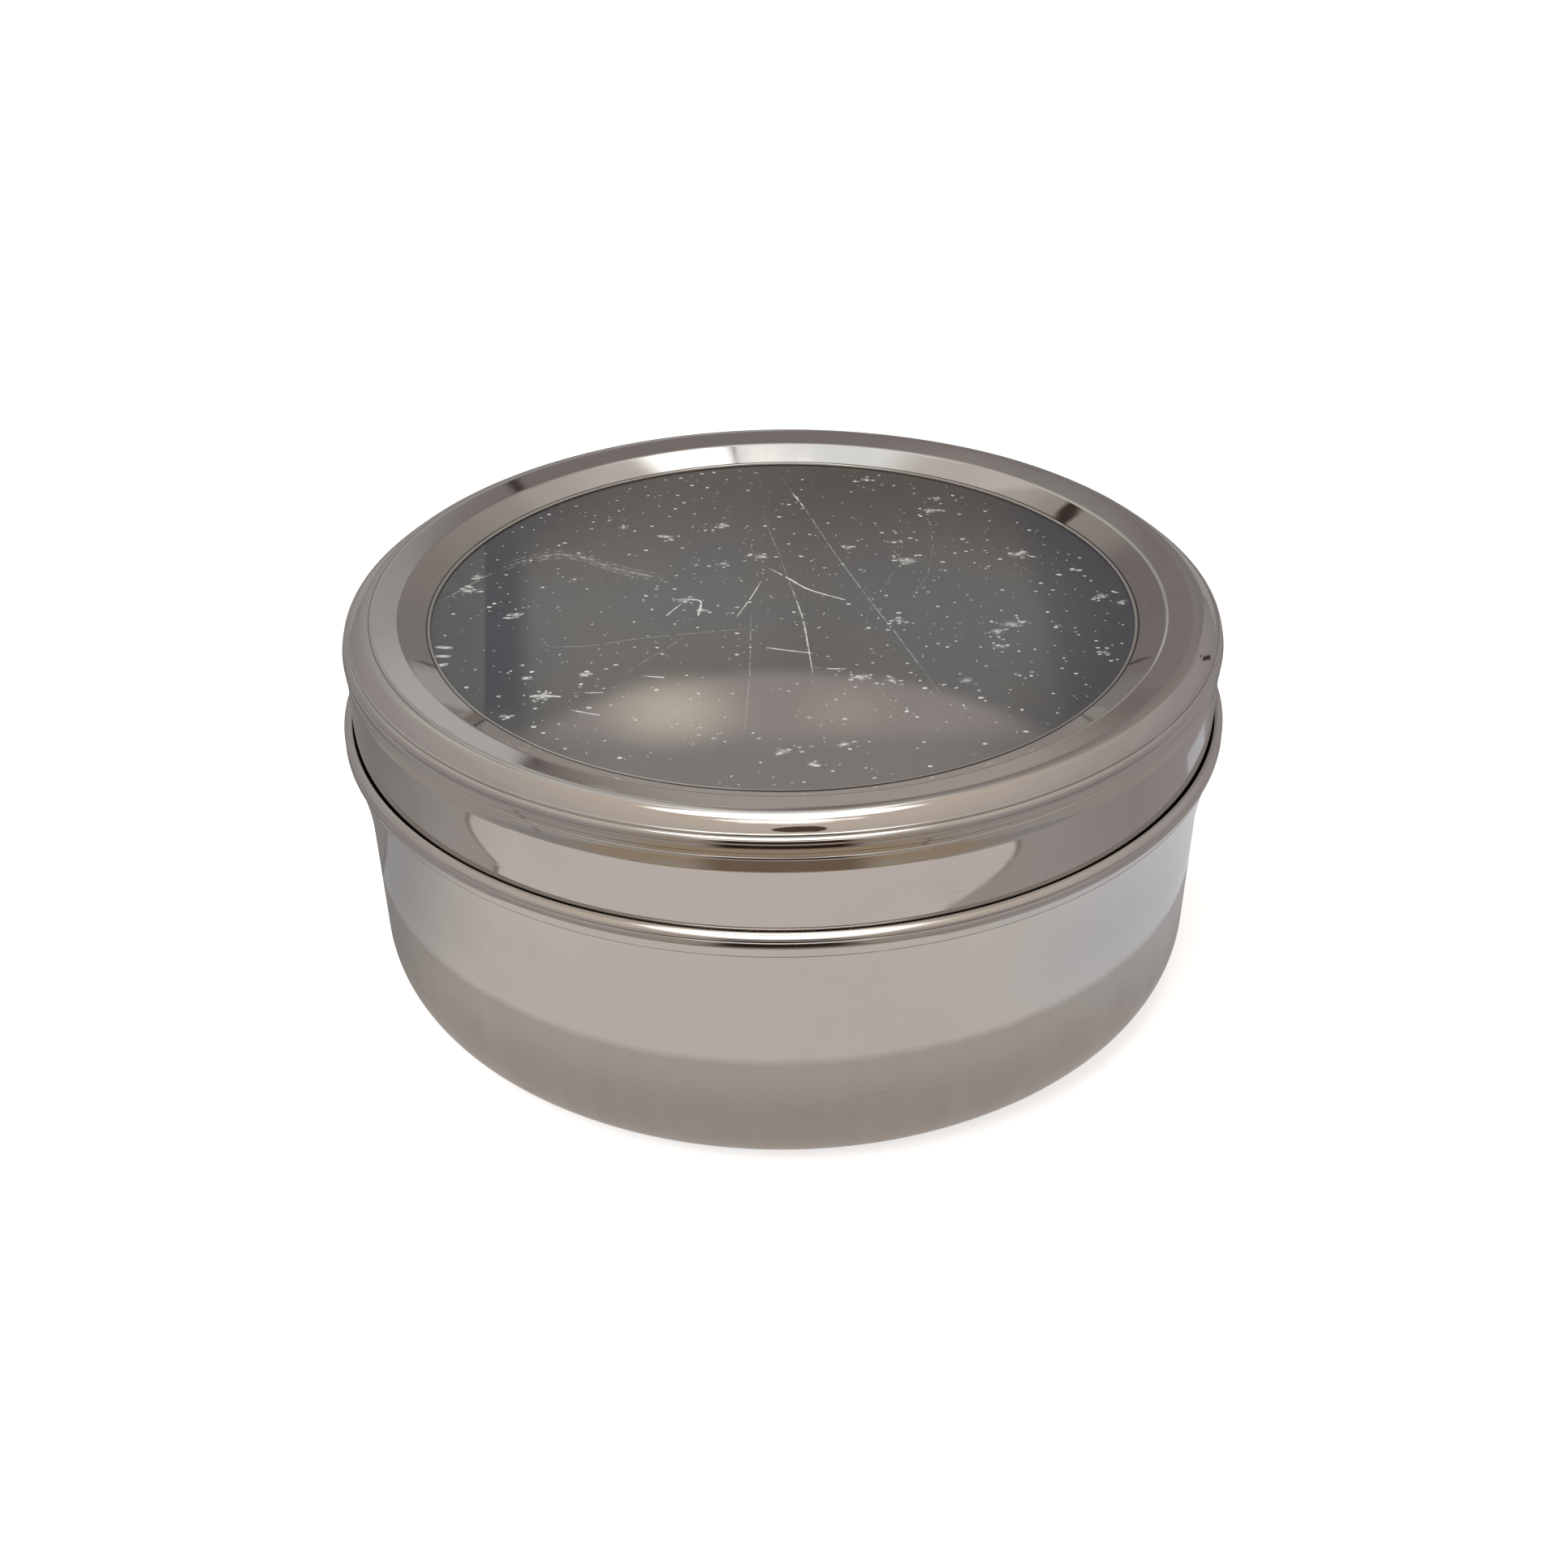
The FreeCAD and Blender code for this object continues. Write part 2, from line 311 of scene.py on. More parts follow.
def steel(name, tint, rough, line_strength, smear=0.10, satin_below=None, gap_shadow_r=None):
    """Spun stainless steel: fine turned lines, wipe marks, hairline scratches and a darker colour in the
    grooves.

    Below the height satin_below, in metres, the finish is duller and rougher, and its colour is darkened
    towards the base as painted shade: the shadowed floor near the box, mirrored there.
    A thin near-black ring is painted on the top at the radius of the last argument, in metres: painted shadow
    of the gap along the window's edge.
    """
    s = Shader.named(name)
    point = s.object_point()
    lines = s.noise(s.round_point(1.3, 5200.0), 1.0, 3.0, 0.6)
    wipes = s.noise(point, 26.0, 5.0, 0.62)
    wipe_marks = s.ease(wipes, 0.48, 0.72)
    hair = s.noise(s.round_point(9.0, 900.0), 1.0, 1.0, 0.4)
    hairlines = s.ease(hair, 0.71, 0.76)
    roughness = s.maths("MULTIPLY_ADD", wipe_marks, smear, rough)
    roughness = s.maths("MULTIPLY_ADD", lines, 0.6 * rough, roughness)
    roughness = s.maths("MULTIPLY_ADD", hairlines, 0.12, roughness)
    pointiness = s.node("ShaderNodeNewGeometry").outputs["Pointiness"]
    # The colour is darkened in concave creases, found by pointiness.
    crease_darkening = s.ease(pointiness, 0.485, 0.465)
    colour = s.mix_colour(s.product(wipe_marks, 0.5), tint, darker(tint, (0.90, 0.89, 0.88)))
    colour = s.mix_colour(s.product(crease_darkening, 0.7), colour, darker(tint, (0.45, 0.38, 0.32)))
    x, y, height = s.split(point)
    if satin_below is not None:
        wander = s.maths("MULTIPLY_ADD", wipes, 0.002, satin_below - 0.001)
        satin = s.ease(s.maths("SUBTRACT", wander, height), -0.0012, 0.0018)
        roughness = s.maths("MULTIPLY_ADD", satin, SATIN_ROUGH - rough, roughness)
        # Painted shade: below satin_below the colour is darkened, most towards the base, standing in for the
        # shadowed floor mirrored in the wall; noise streaks lift it back towards the tint.
        upper = darker(tint, (0.76, 0.74, 0.72))
        lower = darker(tint, (0.64, 0.61, 0.59))
        satin_painted_shade = s.mix_colour(s.ease(height, 0.029, 0.016), upper, lower)
        streaks = s.noise(s.round_point(16.0, 30.0), 1.0, 2.0)
        satin_painted_shade = s.mix_colour(s.ease(streaks, 0.42, 0.75, 0.0, 0.10), satin_painted_shade, tint)
        colour = s.mix_colour(satin, colour, satin_painted_shade)
    if gap_shadow_r is not None:
        # Painted shadow: a near-black ring on the top, where the gap along the window's edge throws shade.
        in_crease = s.inside(s.hypot(x, y), gap_shadow_r, 0.00018, 0.0001)
        on_top = s.ease(height, 0.085, 0.0855)
        colour = s.mix_colour(s.product(in_crease, on_top, 0.85), colour, (0.03, 0.025, 0.02))
    normal = s.bump(lines, line_strength, 0.02)
    return s.finish(s.principled(Base_Color=colour, Metallic=1.0, Roughness=roughness, Normal=normal))


def through_light(s, surface, clear_share):
    """Lets light reach what lies under a clear sheet: shadow rays pass it by clear_share."""
    path = s.node("ShaderNodeLightPath")
    clear = s.node("ShaderNodeBsdfTransparent")
    s.plug(clear.inputs["Color"], (clear_share,) * 3)
    return s.mix_shader(path.outputs["Is Shadow Ray"], surface, clear.outputs[0])


def clear_pane(name):
    """Thin clear acrylic: it mirrors by its angle to the view and lets the rest straight through."""
    s = Shader.named(name)
    point = s.object_point()
    fresnel = s.node("ShaderNodeFresnel")
    s.plug(fresnel.inputs["IOR"], 1.49)
    scuffs = s.noise(point, 260.0, 4.0, 0.7)
    gloss = s.node("ShaderNodeBsdfAnisotropic")
    s.plug(gloss.inputs["Color"], (0.95, 0.97, 0.97))
    s.plug(gloss.inputs["Roughness"], s.maths("MULTIPLY_ADD", scuffs, 0.10, 0.02))
    s.plug(gloss.inputs["Normal"], s.bump(s.noise(point, 14.0, 2.0), 0.15, 0.2))
    clear = s.node("ShaderNodeBsdfTransparent")
    upright = s.split(s.node("ShaderNodeNewGeometry").outputs["Normal"])[2]
    edge = s.ease(s.maths("ABSOLUTE", upright), 0.9, 0.2)
    s.plug(clear.inputs["Color"], s.mix_colour(edge, (0.955, 0.965, 0.965), (0.62, 0.72, 0.70)))
    surface = s.mix_shader(fresnel.outputs[0], clear.outputs[0], gloss.outputs[0])
    return s.finish(through_light(s, surface, 0.93))


def hazy_film(name):
    """The protective film: milky, a little glossy, and rough enough to blur what lies under it.

    Its colour holds painted light: painted shade of the box's inside, darker at the back and darker and bluer
    round the edge, dark painted reflection bands at both sides, a paler painted lit floor over the front
    third and two warm painted highlights.
    """
    s = Shader.named(name)
    point = s.object_point()
    x, y, z = s.split(point)
    u = s.maths("DIVIDE", x, WINDOW_R * MM)
    v = s.maths("DIVIDE", y, WINDOW_R * MM)

    def away(u_mid, v_mid):
        """Distance from a place on the window, in window radii."""
        du = s.maths("SUBTRACT", u, u_mid)
        dv = s.maths("SUBTRACT", v, v_mid)
        return s.hypot(du, dv)

    cloud = s.noise(point, 11.0, 4.0, 0.55)
    grain = s.noise(point, 900.0, 2.0, 0.6)
    streak = s.noise(s.vector(s.product(x, 60.0), s.product(y, 900.0), 0.0), 1.0, 2.0)

    # The tone in the middle; painted shade at the back and in a dark line down the middle; a paler painted
    # lit floor in front with two warm painted highlights on it.
    cool_share = s.ease(s.noise(point, 13.0, 2.0), 0.42, 0.60)
    tone = s.mix_colour(cool_share, (0.160, 0.157, 0.151), (0.143, 0.154, 0.170))
    tone = s.mix_colour(s.ease(v, 0.0, 0.9), tone, (0.098, 0.086, 0.078))
    tone = s.mix_colour(s.product(s.inside(u, 0.08, 0.0, 0.16), 0.22), tone, (0.05, 0.05, 0.05))
    painted_lit_floor = s.mix_colour(s.ease(v, -0.66, -0.82), (0.297, 0.270, 0.263), (0.217, 0.212, 0.214))
    tone = s.mix_colour(s.ease(away(0.0, -1.25), 0.90, 0.80), tone, painted_lit_floor)
    tone = s.mix_colour(s.ease(away(-0.29, -0.60), 0.25, 0.0), tone, (0.55, 0.50, 0.43))
    tone = s.mix_colour(s.product(s.ease(away(0.16, -0.60), 0.18, 0.0), 0.35), tone, (0.52, 0.46, 0.38))

    # The dark painted reflection round the rim, a dark painted reflection band on the left with a paler strip
    # beside it, painted shade on the right and the fine streaks.
    rim = s.ease(away(0.0, 0.0), 0.62, 1.0)
    across = s.ease(s.maths("ABSOLUTE", u), 0.35, 0.95)
    tone = s.mix_colour(s.product(rim, across, 0.85), tone, (0.052, 0.055, 0.066))
    slanted = s.maths("MULTIPLY_ADD", v, 0.115, u)
    beside_band = s.inside(v, -0.10, 0.52, 0.12)
    dark_reflection_band = s.product(s.ease(slanted, -0.858, -0.848), s.ease(slanted, -0.70, -0.79), beside_band)
    tone = s.mix_colour(s.product(dark_reflection_band, 0.8), tone, (0.048, 0.050, 0.068))
    pale_strip = s.product(s.ease(slanted, -0.848, -0.858), beside_band)
    tone = s.mix_colour(s.product(pale_strip, 0.6), tone, (0.115, 0.125, 0.125))
    tone = s.mix_colour(s.product(s.ease(u, 0.70, 0.79), 0.35), tone, (0.05, 0.057, 0.075))
    tone = s.mix_colour(s.product(s.ease(streak, 0.60, 0.82), 0.12), tone, (0.40, 0.40, 0.40))
    tone = s.mix_colour(s.product(s.ease(grain, 0.50, 0.85), 0.08), tone, (0.40, 0.40, 0.40))

    # The blur of what lies under it, the milky body and the gloss. Steel mirrors the film paler.
    blur = s.node("ShaderNodeBsdfRefraction")
    s.plug(blur.inputs["Color"], (0.93, 0.94, 0.94))
    s.plug(blur.inputs["IOR"], 1.45)
    s.plug(blur.inputs["Roughness"], s.maths("MULTIPLY_ADD", cloud, 0.12, 0.42))
    path = s.node("ShaderNodeLightPath")
    inside = s.node("ShaderNodeNewGeometry").outputs["Backfacing"]
    first_bounce = s.ease(path.outputs["Ray Depth"], 1.6, 1.4)
    in_steel = s.product(path.outputs["Is Glossy Ray"], first_bounce, s.maths("SUBTRACT", 1.0, inside))
    milk = s.node("ShaderNodeBsdfDiffuse")
    s.plug(milk.inputs["Color"], s.mix_colour(in_steel, tone, (0.50, 0.455, 0.43)))
    haze = s.maths("MULTIPLY_ADD", s.ease(cloud, 0.35, 0.7), 0.10, 0.62)
    body = s.mix_shader(haze, blur.outputs[0], milk.outputs[0])
    gloss = s.node("ShaderNodeBsdfAnisotropic")
    s.plug(gloss.inputs["Color"], (0.9, 0.9, 0.9))
    s.plug(gloss.inputs["Roughness"], s.maths("MULTIPLY_ADD", cloud, 0.15, 0.12))
    s.plug(gloss.inputs["Normal"], s.bump(s.noise(point, 45.0, 3.0), 0.10, 0.3))
    fresnel = s.node("ShaderNodeFresnel")
    s.plug(fresnel.inputs["IOR"], 1.4)
    surface = s.mix_shader(fresnel.outputs[0], body, gloss.outputs[0])
    return s.finish(through_light(s, surface, 0.72))


def torn_film(name):
    """The white of scratched and flaked film. Each mark shows by its own strength."""
    s = Shader.named(name)
    point = s.object_point()
    patch = s.noise(point, 700.0, 4.0, 0.7)
    colour = s.mix_colour(patch, (0.52, 0.54, 0.54), (0.90, 0.91, 0.91))
    clear = s.node("ShaderNodeBsdfTransparent")
    flake = s.principled(
        Base_Color=colour,
        Roughness=0.55,
        Normal=s.bump(s.noise(point, 1500.0, 2.0), 0.6, 0.1),
    )
    strength = s.node("ShaderNodeAttribute", attribute_name="strength").outputs["Fac"]
    feathered = s.ease(s.maths("ADD", patch, s.product(strength, 0.5)), 0.48, 0.78)
    shows = s.product(strength, feathered, 0.85)
    return s.finish(through_light(s, s.mix_shader(shows, clear.outputs[0], flake), 1.0))


# ---- box and lid -------------------------------------------------------------------------
def box_outline():
    """The drawn pan: flat base, round corner, near-upright wall, flare, beaded collar, rolled lip."""
    o = Outline(0, 0)
    o.line(84.2, 0)
    o.arc(on_circle((84.2, 13), 13, -45), (97.2, 13), 20)
    o.line(97.8, 41)
    o.arc((98.6, 50), (100.45, 59), 16)
    o.line(100.85, 60.18)
    o.bead(100.88, 60.42, 0.12, 6)
    o.line(101.1, 62.3)
    o.line(101.65, 62.5)
    o.arc((101.43, 63.23), (100.95, 63.85), 12)
    o.line(*on_circle(COLLAR_ROLL, COLLAR_ROLL_R, 10))
    o.arc(on_circle(COLLAR_ROLL, COLLAR_ROLL_R, 22), (101.42, 65.02), 8)
    o.arc((100.76, 65.41), (100.05, 65.68), 14)
    o.arc((99.8, 65.56), (99.7, 65.1), 8)
    o.line(99.8, 61.9)
    o.line(99.85, 59)
    o.arc((98.0, 50), (97.2, 41), 16)
    o.line(96.6, 13)
    o.arc(on_circle((84.2, 13), 13 - SHEET, -45), (84.2, SHEET), 20)
    o.line(0, SHEET)
    return o.points


def lid_outline():
    """The lid's steel ring: window edge, sloping ring, crest, bevel, beads, neck and skirt."""
    o = Outline(WINDOW_R + 0.3, 85.5)
    o.arc((WINDOW_R, 85.8), (WINDOW_R + 0.3, 86.1), 8)
    o.line(WINDOW_R + 0.8, 86.0)
    o.line(86.7, 88.62)
    o.arc((87.05, 88.74), (87.4, 88.82), 8)
    o.line(92.6, 89.74)
    o.arc((94.32, 89.66), (95.86, 88.87), 24)
    o.bead(97.9, 87.2, 0.05, 16)
    o.bead(98.35, 86.65, 0.15, 8)
    o.arc((99.12, 86.27), (99.48, 85.55), 18)
    o.line(99.4, 85.4)
    o.line(99.68, 84.8)
    o.line(99.85, 84.0)
    o.line(99.15, 83.55)
    o.line(99.35, 82.75)
    o.arc((99.58, 82.5), (99.69, 82.14), 12)
    o.line(98.5, 81.9)
    o.bead(99.35, 79.4, -0.03, 10)
    o.line(99.4, 79.2)
    o.line(99.4, 57.9)
    o.arc((99.1, 57.6), (98.8, 57.9), 8)
    o.line(98.8, 79.2)
    o.line(97.9, 81.8)
    o.line(98.5, 83.4)
    o.line(98.5, 85.6)
    o.line(97.55, 86.7)
    o.line(94.85, 88.97)
    o.arc((94.15, 89.24), (93.35, 89.28), 10)
    o.line(87.55, 88.24)
    o.line(86.9, 88.06)
    o.line(WINDOW_R + 0.3, 85.5)
    return o.points


def retainer_outline():
    """The pressed ring under the pane: a flat seat and a band that grips the skirt's bore."""
    o = Outline(82.0, 82.68)
    o.arc((81.7, 82.98), (82.0, 83.28), 8)
    o.line(96.17, 83.28)
    o.arc((97.02, 82.93), (97.37, 82.08), 8)
    o.line(98.77, 78.28)
    o.line(98.77, 70.28)
    o.line(98.17, 70.28)
    o.line(98.17, 78.28)
    o.line(96.77, 82.08)
    o.line(96.17, 82.68)
    o.line(82.0, 82.68)
    return o.points


def disc_outline(radius, low_z, high_z, broken_edge):
    """A flat disc with its sharp edges broken."""
    o = Outline(0, low_z)
    o.line(radius - broken_edge, low_z)
    o.line(radius, low_z + broken_edge)
    o.line(radius, high_z - broken_edge)
    o.line(radius - broken_edge, high_z)
    o.line(0, high_z)
    return o.points


# ---- film marks --------------------------------------------------------------------------
class Marks:
    """Thin raised marks on the film, in millimetres. Each point carries how strongly it shows."""

    def __init__(self, z, seed):
        self.z = z
        self.rng = random.Random(seed)
        self.verts, self.faces, self.strengths = [], [], []

    def point(self, x, y, lift, strength):
        self.verts.append((x * MM, y * MM, (self.z + lift) * MM))
        self.strengths.append(strength)

    def smudge(self, x, y, long_r, wide_r, turn_deg, strength, rim_strength=0.0, count=9):
        """One low ragged cone, fading from its middle to its rim."""
        turn = math.radians(turn_deg)
        base = len(self.verts)
        for i in range(count):
            a = math.tau * i / count
            ragged = self.rng.uniform(0.65, 1.15)
            u, v = long_r * ragged * math.cos(a), wide_r * ragged * math.sin(a)
            around = x + u * math.cos(turn) - v * math.sin(turn)
            self.point(around, y + u * math.sin(turn) + v * math.cos(turn), 0.0, rim_strength)
        self.point(x, y, 0.02, strength)
        for i in range(count):
            self.faces.append((base + i, base + (i + 1) % count, base + count))
        self.faces.append(tuple(base + i for i in reversed(range(count))))

    def scratch(self, points, width, strength):
        """A thin raised ribbon along a smoothed run of points, broken in places."""
        path = []
        for (ax, ay), (bx, by) in zip(points, points[1:]):
            steps = max(2, int(math.dist((ax, ay), (bx, by)) / 1.2))
            path += [(ax + (bx - ax) * i / steps, ay + (by - ay) * i / steps) for i in range(steps)]
        path.append(points[-1])
        for _ in range(3):
            middle = [
                tuple((p[k] + 2 * q[k] + r[k]) / 4 for k in (0, 1))
                for p, q, r in zip(path, path[1:], path[2:])
            ]
            path = [path[0]] + middle + [path[-1]]
        for i, (p, q) in enumerate(zip(path, path[1:])):
            if self.rng.random() < 0.08:
                continue
            dx, dy = q[0] - p[0], q[1] - p[1]
            length = math.hypot(dx, dy) or 1.0
            taper = min(1.0, 0.25 + 4 * min(i, len(path) - i) / len(path))
            half = width * taper * self.rng.uniform(0.6, 1.2) / 2
            nx, ny = -dy / length * half, dx / length * half
            base = len(self.verts)
            for cx, cy in (p, q):
                self.point(cx - nx, cy - ny, 0.0, strength)
                self.point(cx + nx, cy + ny, 0.0, strength)
                self.point(cx, cy, 0.03, strength)
            self.faces += [(base, base + 3, base + 4, base + 1), (base, base + 2, base + 5, base + 3)]
            self.faces += [(base + 1, base + 4, base + 5, base + 2), (base, base + 1, base + 2)]
            self.faces.append((base + 3, base + 5, base + 4))

    def mesh(self, name):
        obj = finish_mesh(name, self.verts, self.faces, 40)
        strength = obj.data.attributes.new("strength", "FLOAT", "POINT")
        for item, value in zip(strength.data, self.strengths):
            item.value = value
        return obj


def film_marks():
    """Scratches, smudges and specks on the film, placed in units of the window's radius."""
    marks = Marks(FILM_TOP_Z + 0.005, 21)
    rng = marks.rng
    reach = WINDOW_R - 2.0
    scratches = [
        ([(0.00, 0.90), (0.06, 0.71), (0.16, 0.33), (0.25, 0.03), (0.32, -0.19), (0.42, -0.53)], 0.24, 0.33),
        ([(0.03, 0.79), (0.07, 0.67)], 0.30, 0.8),
        ([(-0.07, 0.68), (0.00, 0.28), (0.05, -0.04), (0.07, -0.25), (0.08, -0.41)], 0.26, 0.24),
        ([(0.03, 0.10), (0.06, -0.10), (0.08, -0.40)], 0.30, 0.75),
        ([(-0.04, 0.24), (0.02, 0.17), (0.07, 0.10), (0.13, 0.06), (0.18, 0.03)], 0.50, 1.0),
        ([(-0.32, 0.04), (-0.23, 0.04), (-0.24, -0.06)], 0.50, 0.9),
        ([(-0.28, 0.03), (-0.31, -0.02), (-0.33, -0.06)], 0.40, 0.6),
        ([(-0.06, -0.25), (0.00, -0.27), (0.08, -0.29)], 0.42, 0.9),
        ([(0.08, -0.37), (0.12, -0.38), (0.17, -0.38)], 0.40, 0.9),
        ([(-0.06, 0.16), (-0.09, 0.05), (-0.13, -0.07)], 0.32, 0.7),
        ([(-0.09, -0.03), (-0.09, -0.43), (-0.10, -0.69)], 0.28, 0.28),
        ([(0.37, 0.41), (0.34, 0.24), (0.28, 0.06)], 0.24, 0.18),
        ([(0.45, 0.58), (0.46, 0.40), (0.43, 0.19), (0.38, 0.06)], 0.24, 0.18),
        ([(-0.66, -0.24), (-0.54, -0.24), (-0.42, -0.20), (-0.10, -0.14)], 0.24, 0.30),
        ([(-0.44, -0.42), (-0.38, -0.33), (-0.28, -0.20)], 0.24, 0.25),
        ([(-0.38, -0.41), (-0.32, -0.42)], 0.55, 0.8),
        ([(-0.69, -0.52), (-0.64, -0.51), (-0.59, -0.52)], 0.60, 0.9),
        ([(-0.56, -0.59), (-0.48, -0.62)], 0.45, 0.7),
        ([(-0.56, -0.50), (-0.48, -0.50)], 0.45, 0.6),
        ([(-0.98, 0.05), (-0.92, 0.14), (-0.86, 0.22)], 0.50, 0.25),
    ]
    for points, width, strength in scratches:
        marks.scratch([(u * WINDOW_R, v * WINDOW_R) for u, v in points], width, strength)

    smear = [
        (-0.83, 0.26), (-0.75, 0.32), (-0.67, 0.35), (-0.60, 0.33),
        (-0.52, 0.26), (-0.45, 0.22), (-0.35, 0.18),
    ]
    for above, width, strength in ((0.0, 1.4, 0.24), (0.024, 0.6, 0.22), (-0.022, 0.7, 0.20)):
        marks.scratch([(u * WINDOW_R, (v + above) * WINDOW_R) for u, v in smear], width, strength)

    # Flaked places: where, how many flakes, and how large a place.
    flaked = [
        (0.47, 0.64, 9, 1.0), (0.49, 0.72, 4, 0.7), (0.27, 0.88, 5, 0.6), (0.34, 0.41, 6, 0.7),
        (0.37, 0.28, 14, 1.3), (0.71, 0.32, 10, 1.2), (0.86, 0.21, 3, 0.5), (0.92, 0.04, 10, 1.0),
        (0.97, 0.00, 6, 0.8), (0.64, -0.13, 9, 1.2), (0.60, -0.17, 5, 0.8), (0.33, -0.10, 7, 0.8),
        (0.60, -0.26, 5, 0.7), (0.88, -0.30, 5, 0.7), (0.21, -0.43, 10, 0.9), (0.29, -0.44, 5, 0.7),
        (0.49, -0.45, 5, 0.8), (-0.64, -0.52, 12, 1.0), (-0.54, -0.40, 4, 0.7), (-0.69, -0.42, 5, 0.7),
        (-0.76, -0.05, 9, 0.9), (-0.91, 0.11, 8, 1.0), (-0.90, 0.20, 4, 0.7), (-0.73, -0.62, 4, 0.6),
        (-0.07, 0.32, 9, 1.0), (-0.18, 0.27, 4, 0.7), (-0.18, 0.54, 6, 0.8), (-0.35, 0.46, 7, 0.9),
        (-0.49, 0.53, 3, 0.5), (0.20, 0.38, 5, 0.7), (-0.28, 0.04, 6, 1.0), (-0.23, -0.03, 6, 0.7),
        (0.15, -0.78, 6, 0.9), (0.00, -0.81, 6, 0.9), (0.07, -0.87, 4, 0.7),
    ]
    for u, v, count, size in flaked:
        x, y = u * WINDOW_R, v * WINDOW_R
        marks.smudge(x, y, 3.0 * size, 1.9 * size, rng.uniform(-20, 20), 0.60, 0.05)
        for _ in range(count):
            px, py = x + rng.gauss(0, 1.6) * size, y + rng.gauss(0, 1.3) * size
            if math.hypot(px, py) < reach:
                flake = rng.uniform(0.15, 0.5)
                marks.smudge(px, py, flake * rng.uniform(1.0, 2.2), flake, rng.uniform(-25, 25), 0.95, 0.5, 7)
    for v in (-0.24, -0.29, -0.34):
        marks.smudge(-0.935 * WINDOW_R, v * WINDOW_R, 2.4, 0.8, rng.uniform(-15, 15), 1.0, 0.3)
    for _ in range(900):
        r, a = reach * math.sqrt(rng.random()), rng.uniform(0, math.tau)
        speck = 0.15 + 0.35 * rng.random() ** 2.5
        shows = rng.uniform(0.3, 1.0)
        length = speck * rng.uniform(1.0, 1.6)
        marks.smudge(r * math.cos(a), r * math.sin(a), length, speck, 0.0, shows, shows, 6)
    return marks.mesh("film_marks")


# ---- cups and spoons ---------------------------------------------------------------------
def cup_outline():
    """A cup standing on z = 0: turned rings in its base, round corner, tapered wall, rolled lip."""
    o = Outline(0, 0.25)
    o.line(15.5, 0.25)
    o.arc((16.3, 0.02), (17.1, 0), 6)
    o.line(20.5, 0)
    o.arc((20.5 + 8 * 0.70711, 8 - 8 * 0.70711), (28.5, 8), 14)
    o.line(30.1, CUP_H - 2.4)
    o.arc((31.0, CUP_H - 1.2), (30.1, CUP_H), 14)
    o.arc((29.75, CUP_H - 0.35), (29.6, CUP_H - 1.3), 6)
    o.line(28.0, 8)
    o.arc((20.5 + 7.5 * 0.70711, 8 - 7.5 * 0.70711), (20.5, 0.5), 14)
    o.line(17.4, 0.5)
    o.arc((16.2, 0.62), (15.2, 0.75), 6)
    o.line(0, 0.75)
    return o.points


def spoon_mesh(name):
    """A pressed spoon along +X: a round bowl centred at the origin and a strip handle.

    The bowl's rim and the handle's underside lie on z = 0 to one sheet's thickness.
    """
    sheet, bowl_r, depth, reach = 0.9, 13.0, 6.5, 92.0
    sphere_r = (bowl_r**2 + depth**2) / (2 * depth)
    bend_x, tip_rise = 62.0, 4.0
    curve_r = ((reach - bend_x) ** 2 + tip_rise**2) / (2 * tip_rise)

    def half_width(x):
        """The outline's half width at x."""
        bowl = math.sqrt(max(0.0, bowl_r**2 - x * x)) if x < bowl_r else 0.0
        if x < bowl_r * 0.75:
            return bowl
        tip_r = 4.5
        along = (x - bowl_r) / (reach - tip_r - bowl_r)
        strip = 2.3 + (tip_r - 2.3) * max(0.0, along)
        if x > reach - tip_r:
            strip = math.sqrt(max(0.0, tip_r**2 - (x - reach + tip_r) ** 2))
        shoulder = 2.6 * math.exp(-((max(0.0, x - bowl_r)) / 4.0) ** 2)
        return max(bowl, strip + (shoulder if x > bowl_r * 0.9 else 0.0))

    def top(x, y):
        """Height of the upper face."""
        r = math.hypot(x, y)
        if r < bowl_r - 0.5:
            inner = sphere_r - sheet
            dish = sheet + (sphere_r - depth) - math.sqrt(max(0.0, inner**2 - r * r))
            return min(sheet, dish)
        if x > bend_x:
            return sheet + curve_r - math.sqrt(curve_r**2 - (x - bend_x) ** 2)
        return sheet

    across, along_steps = 20, 150
    upper = []
    for i in range(along_steps + 1):
        t = i / along_steps
        x = -bowl_r + (reach + bowl_r) * t
        w = max(half_width(min(max(x, -bowl_r + 0.01), reach - 0.01)), 0.02)
        upper.append([(x, w * (2 * j / across - 1)) for j in range(across + 1)])
    verts, faces = [], []
    for side in (1, 0):
        for row in upper:
            for x, y in row:
                z = top(x, y) - (0 if side else sheet)
                verts.append((x * MM, y * MM, z * MM))
    wide = across + 1
    lower = wide * (along_steps + 1)
    for i in range(along_steps):
        for j in range(across):
            a = i * wide + j
            faces.append((a, a + wide, a + wide + 1, a + 1))
            faces.append((lower + a, lower + a + 1, lower + a + wide + 1, lower + a + wide))
        for j in (0, across):
            a = i * wide + j
            faces.append((a, a + wide, lower + a + wide, lower + a))
    for i in (0, along_steps):
        for j in range(across):
            a = i * wide + j
            faces.append((a, a + 1, lower + a + 1, lower + a))
    return finish_mesh(name, verts, faces, 50)


